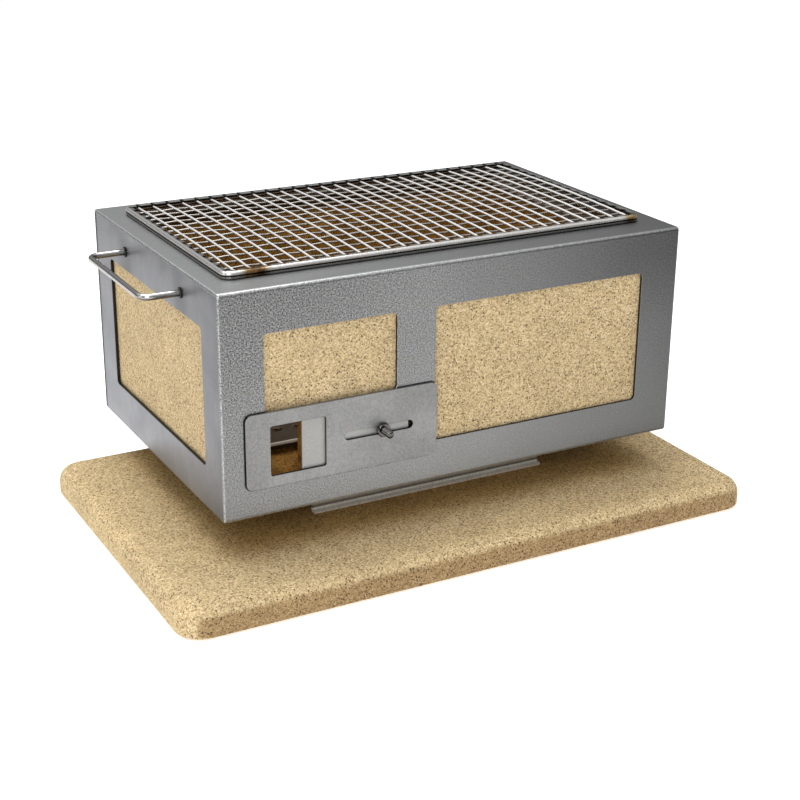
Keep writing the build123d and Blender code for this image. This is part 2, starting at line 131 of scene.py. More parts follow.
# ---------------------------------------------------------------- node helpers


class Shader:
    """A material's node tree, with short calls for its nodes."""

    def __init__(self, name):
        self.material = bpy.data.materials.new(name)
        self.material.use_nodes = True
        self.tree = self.material.node_tree
        self.tree.nodes.clear()
        self.output = self.add("ShaderNodeOutputMaterial")
        self.surface = self.add("ShaderNodeBsdfPrincipled")
        self.link(self.surface, "BSDF", self.output, "Surface")
        self.place = self.add("ShaderNodeTexCoord")

    def add(self, kind, **settings):
        node = self.tree.nodes.new(kind)
        for key, value in settings.items():
            setattr(node, key, value)
        return node

    def link(self, source, out, target, into):
        self.tree.links.new(source.outputs[out], target.inputs[into])

    def set(self, **values):
        """Sets the surface's sockets, from constants or from other nodes."""
        for name, value in values.items():
            socket = self.surface.inputs[name.replace("_", " ")]
            if isinstance(value, (int, float, tuple)):
                socket.default_value = value
            else:
                self.tree.links.new(value, socket)

    # textures, in metres of the object's own frame

    def mapping(self, scale):
        node = self.add("ShaderNodeMapping")
        node.inputs["Scale"].default_value = scale
        self.link(self.place, "Object", node, "Vector")
        return node

    def noise(self, scale, detail, rough=0.55, distortion=0.0, stretch=None):
        node = self.add("ShaderNodeTexNoise")
        node.inputs["Scale"].default_value = scale
        node.inputs["Detail"].default_value = detail
        node.inputs["Roughness"].default_value = rough
        node.inputs["Distortion"].default_value = distortion
        if stretch is None:
            self.link(self.place, "Object", node, "Vector")
        else:
            self.link(self.mapping(stretch), "Vector", node, "Vector")
        return node.outputs["Fac"]

    def cells(self, scale):
        """Random cells: their random colours' channels, and the distance from their middles."""
        node = self.add("ShaderNodeTexVoronoi", feature="F1")
        node.inputs["Scale"].default_value = scale
        self.link(self.place, "Object", node, "Vector")
        split = self.add("ShaderNodeSeparateColor")
        self.link(node, "Color", split, "Color")
        return split.outputs, node.outputs["Distance"]

    def bump(self, height, depth, strength):
        node = self.add("ShaderNodeBump")
        node.inputs["Strength"].default_value = strength
        node.inputs["Distance"].default_value = depth
        self.tree.links.new(height, node.inputs["Height"])
        return node.outputs["Normal"]

    # grey values

    def math(self, operation, first, second=None):
        node = self.add("ShaderNodeMath", operation=operation)
        for socket, value in zip(node.inputs, (first, second)):
            if value is None:
                continue
            if isinstance(value, (int, float)):
                socket.default_value = value
            else:
                self.tree.links.new(value, socket)
        return node.outputs["Value"]

    def times(self, first, *others):
        """Product of grey values."""
        for other in others:
            first = self.math("MULTIPLY", first, other)
        return first

    def less(self, value, limit):
        return self.math("LESS_THAN", value, limit)

    def more(self, value, limit):
        return self.math("GREATER_THAN", value, limit)

    def range(self, value, low, high, to_low, to_high, smooth=False):
        node = self.add("ShaderNodeMapRange")
        node.interpolation_type = "SMOOTHSTEP" if smooth else "LINEAR"
        node.inputs["From Min"].default_value = low
        node.inputs["From Max"].default_value = high
        node.inputs["To Min"].default_value = to_low
        node.inputs["To Max"].default_value = to_high
        self.tree.links.new(value, node.inputs["Value"])
        return node.outputs["Result"]

    def spread(self, texture, to_low, to_high):
        """A noise's usual span, brought to these two values."""
        return self.range(texture, NOISE_LOW, NOISE_HIGH, to_low, to_high)

    def rise(self, value, low, high):
        """Smooth step from 0 to 1."""
        return self.range(value, low, high, 0.0, 1.0, smooth=True)

    def fall(self, value, low, high):
        """Smooth step from 1 to 0."""
        return self.range(value, low, high, 1.0, 0.0, smooth=True)

    # places and directions

    def axis(self, letter):
        node = self.add("ShaderNodeSeparateXYZ")
        self.link(self.place, "Object", node, "Vector")
        return node.outputs[letter]

    def away(self, letter, middle=0.0):
        """Distance along an axis from a middle."""
        return self.math("ABSOLUTE", self.math("SUBTRACT", self.axis(letter), middle))

    def facing(self, letter):
        """One component of the surface's own normal."""
        node = self.add("ShaderNodeSeparateXYZ")
        self.link(self.place, "Normal", node, "Vector")
        return node.outputs[letter]

    def tilt(self, letter):
        """Size of one component of the surface's own normal."""
        return self.math("ABSOLUTE", self.facing(letter))

    def edges(self):
        """1 on rounded edges, whose normal lies between two axes, and 0 on the flat faces."""
        largest = self.math("MAXIMUM", self.tilt("X"), self.tilt("Y"))
        largest = self.math("MAXIMUM", largest, self.tilt("Z"))
        return self.rise(self.math("SUBTRACT", 1.0, largest), 0.03, 0.16)

    def outline(self, node, radius):
        """Distance in X and Z from the outline of a node's rounded front, negative inside it."""
        low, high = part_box(node)
        parts = []
        for letter, start, end in (("X", low.x, high.x), ("Z", low.z, high.z)):
            away = self.away(letter, (start + end) / 2)
            past = self.math("SUBTRACT", away, (end - start) / 2 - radius)
            parts.append(self.math("POWER", self.math("MAXIMUM", past, 0.0), 2.0))
        return self.math("SUBTRACT", self.math("SQRT", self.math("ADD", *parts)), radius)

    # colours

    def ramp(self, value, stops):
        node = self.add("ShaderNodeValToRGB")
        points = node.color_ramp.elements
        while len(points) < len(stops):
            points.new(0.5)
        for point, (position, colour) in zip(points, stops):
            point.position = position
            point.color = (*colour, 1.0)
        self.tree.links.new(value, node.inputs["Fac"])
        return node.outputs["Color"]

    def mix(self, share, first, second, blend="MIX"):
        node = self.add("ShaderNodeMix", data_type="RGBA", blend_type=blend)
        for socket, value in ((0, share), (6, first), (7, second)):
            if isinstance(value, (int, float)):
                node.inputs[socket].default_value = value
            elif isinstance(value, tuple):
                node.inputs[socket].default_value = (*value, 1.0)
            else:
                self.tree.links.new(value, node.inputs[socket])
        return node.outputs[2]

    def tint(self, share, colour, by):
        """The colour, multiplied by another where share is 1."""
        return self.mix(share, colour, self.mix(1.0, colour, by, "MULTIPLY"))

    def shade(self, colour, share):
        """The colour times a grey value."""
        grey = self.add("ShaderNodeCombineColor")
        for channel in ("Red", "Green", "Blue"):
            self.tree.links.new(share, grey.inputs[channel])
        return self.mix(1.0, colour, grey.outputs["Color"], "MULTIPLY")


# ------------------------------------------------------------------- materials


def vermiculite(name, lightness, tint=WHITE):
    """Pressed vermiculite board: flakes of a millimetre or so, from pale to tan, and dark pits."""
    s = Shader(name)
    flakes, flake_distance = s.cells(1020)
    small, small_distance = s.cells(1700)
    specks, speck_distance = s.cells(480)
    stops = [
        (0.0, (0.02, 0.011, 0.005)),
        (0.15, (0.11, 0.065, 0.026)),
        (0.27, (0.44, 0.31, 0.150)),
        (0.50, (0.60, 0.445, 0.235)),
        (0.75, (0.71, 0.55, 0.31)),
        (0.90, (0.93, 0.78, 0.53)),
    ]
    colour = s.mix(0.30, s.ramp(flakes["Red"], stops), s.ramp(small["Green"], stops))
    colour = s.mix(0.30, colour, (0.61, 0.455, 0.245))
    # one cell in five holds a dark speck
    spots = s.range(speck_distance, 0.22, 0.42, 0.9, 0.0, smooth=True)
    spots = s.times(spots, s.more(specks["Red"], 0.80))
    colour = s.mix(spots, colour, (0.05, 0.03, 0.015))
    colour = s.shade(colour, s.spread(s.noise(34, 4), 0.92 * lightness, 1.06 * lightness))
    colour = s.tint(1.0, colour, tint)
    height = s.math("ADD", flake_distance, s.times(small_distance, 0.8))
    s.set(
        Roughness=s.range(flakes["Blue"], 0.0, 1.0, 0.72, 0.95),
        Normal=s.bump(height, 0.30 * MM, 0.8),
        Specular_IOR_Level=0.2,
    )
    return s, colour


def lining_board():
    """The firebox lining, with painted shade: brown inside the cavity, darker under the grate, a
    black band below the net on the far walls, and dark behind the damper.
    """
    s, colour = vermiculite("lining_vermiculite", 0.97)
    in_cavity = s.times(
        s.less(s.away("X"), FIRE_HALF_LENGTH),
        s.more(s.axis("Z"), FIRE_FLOOR),
        s.more(s.axis("Y"), FIRE_FRONT),
        s.less(s.axis("Y"), FIRE_BACK),
    )
    # painted shade: the lining inside the cavity is tinted brown and darker
    cavity_shade_stops = [(0.35, (0.52, 0.33, 0.11)), (0.65, (0.90, 0.60, 0.20))]
    colour = s.tint(in_cavity, colour, s.ramp(s.noise(60, 5, 0.6), cavity_shade_stops))
    # painted shade: the floor below the grate is darker
    below_grate = s.less(s.axis("Z"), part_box("charcoal_grate")[0].z)
    colour = s.tint(s.times(below_grate, in_cavity), colour, (0.62, 0.62, 0.58))
    # painted shade: a black band on the far walls, just below the net
    top_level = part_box("casing_wrap")[1].z
    under_net = s.range(s.axis("Z"), top_level - 20 * MM, top_level - 13 * MM, 0.0, 1.0)
    far_wall = s.math("MAXIMUM", s.more(s.axis("Y"), 100 * MM), s.more(s.axis("X"), 168 * MM))
    colour = s.tint(s.times(under_net, far_wall, in_cavity), colour, (0.12, 0.12, 0.12))
    # painted shade on the lining's front in the damper's recess, as far as the damper travels
    low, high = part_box("damper_plate")
    across = s.less(s.away("X", (low.x + high.x) / 2), (high.x - low.x) / 2 + 16 * MM)
    up_down = s.less(s.away("Z", (low.z + high.z) / 2), (high.z - low.z) / 2)
    recess_shade = s.times(across, up_down, s.less(s.axis("Y"), FIRE_FRONT))
    s.set(Base_Color=s.tint(recess_shade, colour, (0.07, 0.06, 0.05)))
    return s.material


def base_slab_board():
    """The base board, with a painted shadow, browner, under and in front of the box, and painted
    shade on its upright front edge.
    """
    s, colour = vermiculite("board_vermiculite", 1.03, (1.0, 1.0, 0.98))
    # painted shadow of the box: browner under and in front of it
    reach_x = s.fall(s.away("X"), 165 * MM, 222 * MM)
    reach_y = s.rise(s.axis("Y"), -156 * MM, -104 * MM)
    colour = s.tint(s.times(reach_x, reach_y), colour, (0.75, 0.60, 0.37))
    # painted shade: the upright front face is darker
    edge = s.fall(s.facing("Y"), -0.95, -0.82)
    s.set(Base_Color=s.tint(edge, colour, (0.61, 0.54, 0.47)))
    return s.material


def sheet_steel():
    """The folded casing: peppery mill grain on the walls, faint brushing on the top."""
    s = Shader("casing_steel")
    low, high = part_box("casing_wrap")
    up = s.rise(s.facing("Z"), 0.75, 0.97)
    pepper = s.noise(880, 2, 0.55)
    fine = s.noise(1500, 2, 0.5)
    cloud = s.noise(9, 3, 0.5)
    brush = s.noise(40, 4, 0.6, stretch=(0.35, 30.0, 1.0))
    # the grain stands out most at the upper left of the front and fades away from there
    fade_x = s.range(s.axis("X"), -190 * MM, 100 * MM, 1.0, 0.30, smooth=True)
    fade_z = s.range(s.axis("Z"), 75 * MM, 190 * MM, 0.42, 1.0, smooth=True)
    coarse = s.times(fade_x, fade_z)
    grain = s.range(pepper, 0.32, 0.68, -0.85, 0.85)
    # walls: painted light and shade, lightest left of the middle, darker upwards and darkest at the
    # upper right
    along = s.range(s.axis("X"), low.x, high.x, 0.0, 1.0)
    across = s.ramp(along, [(0.0, (0.86, 0.86, 0.86)), (0.42, WHITE), (1.0, (0.49, 0.49, 0.49))])
    high_up = s.rise(s.axis("Z"), 140 * MM, 220 * MM)
    to_right = s.range(s.axis("X"), 20 * MM, 200 * MM, 0.0, 0.24, smooth=True)
    upper_right_shade = s.times(high_up, to_right)
    walls = s.times(
        s.math("ADD", s.times(grain, coarse), 1.0),
        s.spread(fine, 0.93, 1.07),
        across,
        s.range(s.axis("Z"), 70 * MM, 230 * MM, 1.04, 0.81),
        s.math("SUBTRACT", 1.0, upper_right_shade),
        s.spread(cloud, 0.94, 1.05),
    )
    # top: painted shade darker towards the right
    top = s.times(
        s.spread(brush, 0.93, 1.06),
        s.spread(pepper, 0.93, 1.07),
        s.range(s.axis("X"), low.x, high.x, 1.03, 0.49),
    )
    # painted light: the top's colour is lighter than the walls'
    wall_colour = s.shade((0.255, 0.257, 0.255), walls)
    top_colour = s.shade((0.30, 0.302, 0.306), top)
    colour = s.mix(up, wall_colour, top_colour)
    # painted highlight on bends and cut ends, most of all the level ones, fading towards the right
    level_bend_highlight = s.range(s.tilt("Z"), 0.05, 0.25, 0.42, 1.0)
    painted_edge_light = s.times(s.edges(), s.spread(pepper, 0.30, 1.0), level_bend_highlight)
    bright = s.shade((0.72, 0.73, 0.73), s.range(along, 0.0, 1.0, 1.0, 0.6))
    colour = s.mix(painted_edge_light, colour, bright)
    # painted shade on the cut faces of the windows
    inner_x = s.less(s.away("X"), high.x - 6 * MM)
    inner_z = s.less(s.away("Z", (low.z + high.z) / 2), (high.z - low.z) / 2 - 6 * MM)
    cut = s.times(s.less(s.tilt("Y"), 0.3), inner_x, inner_z)
    colour = s.mix(cut, colour, (0.04, 0.038, 0.035))
    # painted contact shadow: a thin dark line around the vent plate
    vent_contact_shadow = s.fall(s.outline("vent_plate", VENT_PLATE_CORNER), 0.3 * MM, 1.3 * MM)
    colour = s.mix(s.times(vent_contact_shadow, s.less(s.facing("Y"), -0.9)), colour, (0.03, 0.03, 0.03))
    # the relief is faint on the top
    relief = s.times(pepper, coarse, s.range(up, 0.0, 1.0, 1.0, 0.12))
    s.set(
        Base_Color=colour,
        Metallic=0.85,
        Roughness=s.spread(pepper, 0.50, 0.36),
        Normal=s.bump(relief, 0.16 * MM, 0.8),
    )
    return s.material


def plate_steel(name, base, grain, rough, relief, metallic=0.9, cut_node=None):
    """Cold-rolled plate: even grey with soft clouds, faint streaks and a fine grain."""
    s = Shader(name)
    fine = s.noise(700, 3, 0.6)
    cloud = s.noise(14, 4, 0.55, 0.6)
    streaks = s.noise(30, 5, 0.6, stretch=(1.0, 1.0, 2.0))
    value = s.times(
        s.spread(fine, 1.0 - grain, 1.0 + grain),
        s.spread(cloud, 0.93, 1.06),
        s.spread(streaks, 0.96, 1.04),
    )
    colour = s.shade(base, value)
    if cut_node:
        # painted shade on the cut faces, apart from the one along the plate's top
        below_top = s.less(s.axis("Z"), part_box(cut_node)[1].z - 1 * MM)
        colour = s.mix(s.times(s.less(s.tilt("Y"), 0.5), below_top), colour, (0.015, 0.014, 0.013))
    s.set(
        Base_Color=colour,
        Metallic=metallic,
        Roughness=s.spread(cloud, rough + 0.05, rough - 0.05),
        Normal=s.bump(s.math("ADD", fine, s.times(streaks, 0.6)), relief, 0.5),
    )
    return s.material


def end_panel():
    """End walls: smooth sheet, with painted shade darker to the back, to the top and next to the
    front corner.
    """
    s = Shader("panel_steel")
    fine = s.noise(900, 2, 0.5)
    cloud = s.noise(16, 4, 0.6, 0.8)
    streaks = s.noise(26, 4, 0.6, stretch=(1.0, 6.0, 0.6))
    # painted shadow at the handle's roots, longer downwards than sideways
    low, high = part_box("left_handle")
    from_root = s.math("SUBTRACT", s.away("Y"), (high.y - low.y) / 2 - HANDLE_RADIUS)
    drop = s.times(s.math("SUBTRACT", s.axis("Z"), (low.z + high.z) / 2 - 5 * MM), 0.55)
    ring = s.math("ADD", s.math("POWER", from_root, 2.0), s.math("POWER", drop, 2.0))
    value = s.times(
        s.spread(fine, 0.97, 1.03),
        s.spread(cloud, 0.90, 1.08),
        s.spread(streaks, 0.94, 1.06),
        s.range(s.axis("Z"), 90 * MM, 215 * MM, 1.10, 0.78, smooth=True),
        s.range(s.axis("Y"), -120 * MM, 100 * MM, 1.05, 0.82),
        s.range(s.axis("Y"), -133 * MM, -66 * MM, 0.66, 1.0),
        s.range(s.math("SQRT", ring), 4 * MM, 22 * MM, 0.62, 1.0, smooth=True),
    )
    colour = s.shade((0.190, 0.193, 0.208), value)
    # painted shade on the cut faces
    colour = s.mix(s.less(s.tilt("X"), 0.3), colour, (0.03, 0.03, 0.032))
    s.set(
        Base_Color=colour,
        Metallic=0.9,
        Roughness=s.spread(cloud, 0.42, 0.32),
        Normal=s.bump(s.math("ADD", fine, streaks), 0.015 * MM, 0.5),
    )
    return s.material


def bright_steel(name, base, rough, under=1.0):
    """Polished stainless with light scuffs, and painted shade on its underside where under is less
    than 1.
    """
    s = Shader(name)
    scuffs = s.noise(220, 5, 0.65)
    underside_shade = s.range(s.facing("Z"), -0.5, 0.45, under, 1.0, smooth=True)
    s.set(
        Base_Color=s.shade(base, s.times(s.spread(scuffs, 0.90, 1.06), underside_shade)),
        Metallic=1.0,
        Roughness=s.range(scuffs, 0.35, 0.7, rough + 0.08, rough - 0.04),
        Normal=s.bump(scuffs, 0.008 * MM, 0.3),
    )
    return s.material


def corner_heat(s, fade_start, fade_end, right_start):
    """Mask in X of the heated stretches of the net's front, one near each corner."""
    low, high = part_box("net_rim")
    left = s.times(
        s.rise(s.axis("X"), low.x + 10 * MM, low.x + 20 * MM),
        s.fall(s.axis("X"), low.x + fade_start, low.x + fade_end),
    )
    right = s.rise(s.axis("X"), high.x - right_start, high.x - right_start + 10 * MM)
    return s.math("MAXIMUM", left, right)


def wire_steel(name, base, metallic):
    """Stainless wire, tinted gold and brown by heat close to the front corners."""
    s = Shader(name)
    scuffs = s.noise(420, 4, 0.6)
    patches = s.noise(60, 3, 0.55)
    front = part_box("net_rim")[0].y
    heat = s.times(
        s.fall(s.axis("Y"), front + 6 * MM, front + 16 * MM),
        corner_heat(s, 32 * MM, 46 * MM, 22 * MM),
        s.range(patches, 0.38, 0.58, 0.25, 1.0, smooth=True),
        0.9,
    )
    stops = [(0.35, (0.58, 0.46, 0.22)), (0.5, (0.42, 0.27, 0.10)), (0.65, (0.16, 0.09, 0.04))]
    clean = s.shade(base, s.spread(scuffs, 0.86, 1.08))
    s.set(
        Base_Color=s.mix(heat, clean, s.ramp(patches, stops)),
        Metallic=metallic,
        Roughness=s.spread(scuffs, 0.30, 0.18),
        Normal=s.bump(scuffs, 0.01 * MM, 0.4),
    )
    return s.material


def rim_steel():
    """The net's rolled rim, with painted light and shade: bright upper roll, black groove, dull
    lower roll and dark notches.
    """
    s = Shader("rim_steel")
    low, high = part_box("net_rim")
    middle_x, middle_y = (low.x + high.x) / 2, (low.y + high.y) / 2
    scuffs = s.noise(420, 4, 0.6)
    patches = s.noise(60, 3, 0.55)
    level = s.range(s.axis("Z"), low.z, high.z, 0.0, 1.0)
    stops = [
        (0.0, (0.03, 0.03, 0.03)),
        (0.12, (0.20, 0.195, 0.185)),
        (0.34, (0.42, 0.41, 0.39)),
        (0.38, (0.012, 0.012, 0.012)),
        (0.52, (0.012, 0.012, 0.012)),
        (0.56, (0.36, 0.35, 0.33)),
        (0.75, (0.86, 0.85, 0.82)),
        (1.0, (0.66, 0.65, 0.62)),
    ]
    # painted light and shade by height: dark base, shaded lower roll, black groove, highlit upper
    # roll
    colour = s.ramp(level, stops)
    # painted shade: the top darkens inwards of its outer ridge, in bars where the cross wires end
    from_side = s.math("SUBTRACT", (high.x - low.x) / 2, s.away("X", middle_x))
    from_end = s.math("SUBTRACT", (high.y - low.y) / 2, s.away("Y", middle_y))
    inner = s.times(
        s.rise(s.math("MINIMUM", from_side, from_end), 2.2 * MM, 3.4 * MM),
        s.range(s.math("SUBTRACT", from_end, from_side), 0.0, 1 * MM, 0.35, 1.0),
        s.more(s.facing("Z"), 0.5),
    )
    from_first = s.math("SUBTRACT", s.axis("Y"), middle_y - CROSS_HALF_SPAN)
    turns = s.math("DIVIDE", from_first, CROSS_PITCH)
    turns = s.math("FRACT", s.math("ADD", turns, 100.5))
    from_wire = s.math("ABSOLUTE", s.math("SUBTRACT", turns, 0.5))
    notch_shade_bars = s.range(from_wire, 0.24, 0.32, 1.0, 0.55, smooth=True)
    colour = s.mix(s.times(inner, notch_shade_bars), colour, (0.03, 0.028, 0.025))
    # painted shade on the notches' walls and floors
    notch_wall_shade = s.times(s.less(s.tilt("Z"), 0.06), s.more(level, 0.68))
    notch_floor_shade = s.times(s.more(s.facing("Z"), 0.95), s.less(level, 0.96))
    colour = s.mix(s.math("MAXIMUM", notch_wall_shade, notch_floor_shade), colour, (0.02, 0.018, 0.015))
    heat = s.times(
        s.less(s.axis("Y"), low.y + 9 * MM),
        corner_heat(s, 30 * MM, 42 * MM, 20 * MM),
        s.range(patches, 0.38, 0.56, 0.3, 1.0, smooth=True),
    )
    burnt = [(0.35, (0.80, 0.62, 0.26)), (0.5, (0.55, 0.36, 0.13)), (0.65, (0.16, 0.09, 0.05))]
    colour = s.tint(heat, colour, s.ramp(patches, burnt))
    s.set(
        Base_Color=s.shade(colour, s.spread(scuffs, 0.86, 1.08)),
        Metallic=0.9,
        Roughness=s.spread(scuffs, 0.34, 0.22),
        Normal=s.bump(scuffs, 0.01 * MM, 0.4),
    )
    return s.material


def foot_steel():
    """Folded feet: grained web, with painted light and shade by height: a highlit lip, a dark
    crease and a web darker towards the box.
    """
    s = Shader("foot_steel")
    low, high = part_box("front_foot")
    grain = s.noise(750, 3, 0.6)
    # painted light and shade by height: highlit lip, shaded crease, web darker towards the box
    stops = [
        (0.0, (1.0, 0.98, 0.90)),
        (0.09, (1.0, 0.98, 0.90)),
        (0.12, (0.16, 0.145, 0.12)),
        (0.2, (0.66, 0.63, 0.57)),
        (0.6, (0.50, 0.48, 0.43)),
        (1.0, (0.20, 0.19, 0.17)),
    ]
    colour = s.ramp(s.range(s.axis("Z"), low.z, high.z, 0.0, 1.0), stops)
    s.set(
        Base_Color=s.shade(colour, s.spread(grain, 0.74, 1.2)),
        Metallic=0.45,
        Roughness=s.spread(grain, 0.45, 0.32),
        Normal=s.bump(grain, 0.08 * MM, 0.6),
    )
    return s.material


def grate_steel():
    """Used steel inside the box: painted shade makes the top dark brown, and it is worn grey
    elsewhere.
    """
    s = Shader("inner_steel")
    low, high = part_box("charcoal_grate")
    patches = s.noise(26, 5, 0.6)
    fine = s.noise(700, 3)
    # painted shade: the top is dark brown
    shaded_top_stops = [
        (0.3, (0.034, 0.022, 0.011)),
        (0.55, (0.050, 0.034, 0.017)),
        (0.8, (0.075, 0.054, 0.030)),
    ]
    shaded_top = s.ramp(patches, shaded_top_stops)
    worn = s.ramp(patches, [(0.3, (0.30, 0.27, 0.23)), (0.8, (0.46, 0.43, 0.38))])
    colour = s.mix(s.rise(s.facing("Z"), 0.3, 0.8), worn, shaded_top)
    # the grate's front edge: a painted highlight on the upper half over painted shade on the lower
    # half
    level = s.range(s.axis("Z"), low.z, high.z, 0.0, 1.0)
    painted_edge_light = s.ramp(level, [(0.40, (0.02, 0.017, 0.014)), (0.50, (0.70, 0.69, 0.66))])
    in_grate = s.less(s.away("Z", (low.z + high.z) / 2), (high.z - low.z) / 2)
    colour = s.mix(s.times(s.less(s.facing("Y"), -0.5), in_grate), colour, painted_edge_light)
    s.set(
        Base_Color=s.shade(colour, s.spread(fine, 0.88, 1.1)),
        Metallic=0.35,
        Roughness=s.spread(patches, 0.60, 0.42),
        Normal=s.bump(fine, 0.04 * MM, 0.5),
    )
    return s.material


def floor_paint():
    """Very pale, faintly uneven studio floor, lit a little from within like a light table."""
    s = Shader("studio_floor")
    colour = s.shade(WHITE, s.spread(s.noise(3, 2), 0.90, 0.93))
    s.set(Base_Color=colour, Roughness=0.9, Emission_Color=colour, Emission_Strength=0.48)
    return s.material


def paint(node, material):
    """Gives a CAD node its material."""
    mesh = NODES[node].data
    mesh.materials.clear()
    mesh.materials.append(material)


# ---------------------------------------------------------------------- pieces


def new_piece(name, mesh, material, body, slot, *replaced):
    """Adds a visual piece that rides on a body and stands for the replaced CAD nodes, if any."""
    piece = bpy.data.objects.new(name, mesh)
    bpy.context.scene.collection.objects.link(piece)
    mesh.materials.clear()
    mesh.materials.append(material)
    mesh.shade_smooth()
    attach(piece, body)
    if replaced:
        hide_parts(*replaced)
    return piece


def sharpen(piece, degrees):
    """Smooth shading, with edges sharper than this angle kept crisp."""
    piece.data.shade_smooth()
    piece.data.set_sharp_from_angle(angle=math.radians(degrees))


def join_rings(build, rings, more_rings):
    """Adds the faces between each ring of vertices and its partner in the second list."""
    for first, second in zip(rings, more_rings):
        for turn in range(len(first)):
            other = (turn + 1) % len(first)
            build.faces.new((first[turn], first[other], second[other], second[turn]))


def tube(build, path, radius, sides=WIRE_SIDES):
    """Adds a round tube along the path's points to a bmesh, with flat ends."""
    rings = []
    for index, point in enumerate(path):
        before = path[max(index - 1, 0)]
        after = path[min(index + 1, len(path) - 1)]
        ahead = (after - before).normalized()
        side = ahead.cross(Vector((0, 0, 1)))
        if side.length < 1e-6:
            side = Vector((1, 0, 0))
        side.normalize()
        up = side.cross(ahead)
        ring = []
        for turn in range(sides):
            angle = 2 * math.pi * turn / sides
            outwards = math.cos(angle) * side + math.sin(angle) * up
            ring.append(build.verts.new(point + radius * outwards))
        rings.append(ring)
    join_rings(build, rings, rings[1:])
    build.faces.new(rings[0][::-1])
    build.faces.new(rings[-1])


def finish_mesh(build, name):
    """Turns a finished bmesh into a mesh."""
    bmesh.ops.recalc_face_normals(build, faces=build.faces)
    mesh = bpy.data.meshes.new(name)
    build.to_mesh(mesh)
    build.free()
    return mesh


def net_frame():
    """The net's middle in Y, the long wires' reach from it, and the level of their crown."""
    low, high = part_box("net_rim")
    wires_low, wires_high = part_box("net_long_wires")
    middle_y = (low.y + high.y) / 2
    reach = (wires_high.y - wires_low.y) / 2
    crown_level = wires_high.z - LONG_WIRE_RADIUS
    return middle_y, reach, crown_level


def net_level(y, middle_y, reach, crown_level):
    """Height of the long wires' centre line, crowned in the middle."""
    share = abs(y - middle_y) / reach
    return crown_level - LONG_CRIMP - NET_CROWN * share**2


def woven_long_wires(material):
    """The wires from front to back, crimped over the cross wires and hooked down at the front."""
    middle_y, reach, crown_level = net_frame()
    first_y = middle_y - CROSS_HALF_SPAN
    steps = (CROSS_WIRES + 2) * STEPS_PER_SPAN
    build = bmesh.new()
    for wire in range(LONG_WIRES):
        x = FIRST_LONG_WIRE + wire * LONG_PITCH
        lean = LONG_LEAN * noise.noise(Vector((wire * 0.7, 3.1, 0.0)))
        path = []
        for step in range(steps + 1):
            y = middle_y - reach + 2 * reach * step / steps
            phase = math.pi * ((y - first_y) / CROSS_PITCH + wire)
            fade = min(1.0, (reach - abs(y - middle_y)) / LONG_END_FADE)
            z = net_level(y, middle_y, reach, crown_level) + LONG_CRIMP * math.cos(phase) * fade
            hook = max(0.0, 1.0 - (y - middle_y + reach) / HOOK_LENGTH)
            z -= HOOK_DROP * hook**2
            path.append(Vector((x + lean * math.sin(math.pi * step / steps), y, z)))
        tube(build, path, LONG_WIRE_RADIUS)
    mesh = finish_mesh(build, "woven_long_wires")
    new_piece("woven_long_wires", mesh, material, "net", "net_steel", "net_long_wires")


def woven_cross_wires(material):
    """The wires from side to side, crimped over and under the long wires."""
    middle_y, reach, crown_level = net_frame()
    first_y = middle_y - CROSS_HALF_SPAN
    stack = LONG_WIRE_RADIUS + CROSS_WIRE_RADIUS - LONG_CRIMP - CROSS_CRIMP
    inner_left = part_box("net_rim")[0].x + RIM_WIDTH
    inner_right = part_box("net_rim")[1].x - RIM_WIDTH
    low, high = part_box("net_cross_wires")
    steps = (LONG_WIRES + 1) * STEPS_PER_SPAN
    build = bmesh.new()
    for wire in range(CROSS_WIRES):
        y = first_y + wire * CROSS_PITCH
        base = net_level(y, middle_y, reach, crown_level) - stack
        path = []
        for step in range(steps + 1):
            x = low.x + (high.x - low.x) * step / steps
            phase = math.pi * ((x - FIRST_LONG_WIRE) / LONG_PITCH + wire)
            fade = min(1.0, max(0.0, min(x - inner_left, inner_right - x) / CROSS_END_FADE))
            path.append(Vector((x, y, base - CROSS_CRIMP * math.cos(phase) * fade)))
        tube(build, path, CROSS_WIRE_RADIUS)
    mesh = finish_mesh(build, "woven_cross_wires")
    new_piece("woven_cross_wires", mesh, material, "net", "net_steel", "net_cross_wires")


def wire_end_knobs(material):
    """The long wires' ends, hooked up over the net's rear rim."""
    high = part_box("net_rim")[1]
    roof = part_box("net_long_wires")[1].z - 0.1 * MM
    build = bmesh.new()
    for wire in range(LONG_WIRES):
        x = FIRST_LONG_WIRE + wire * LONG_PITCH
        start = Vector((x, high.y - RIM_WIDTH - 0.5 * MM, high.z - 0.15 * MM))
        over = Vector((x, high.y - 3.0 * MM, high.z + 0.75 * MM))
        end = Vector((x, high.y - 1.5 * MM, high.z - 0.05 * MM))
        path = []
        for step in range(KNOB_STEPS + 1):
            share = step / KNOB_STEPS
            point = start.lerp(over, share).lerp(over.lerp(end, share), share)
            point.z = min(point.z, roof - KNOB_RADIUS)
            path.append(point)
        tube(build, path, KNOB_RADIUS)
    mesh = finish_mesh(build, "wire_end_knobs")
    new_piece("wire_end_knobs", mesh, material, "net", "net_steel")


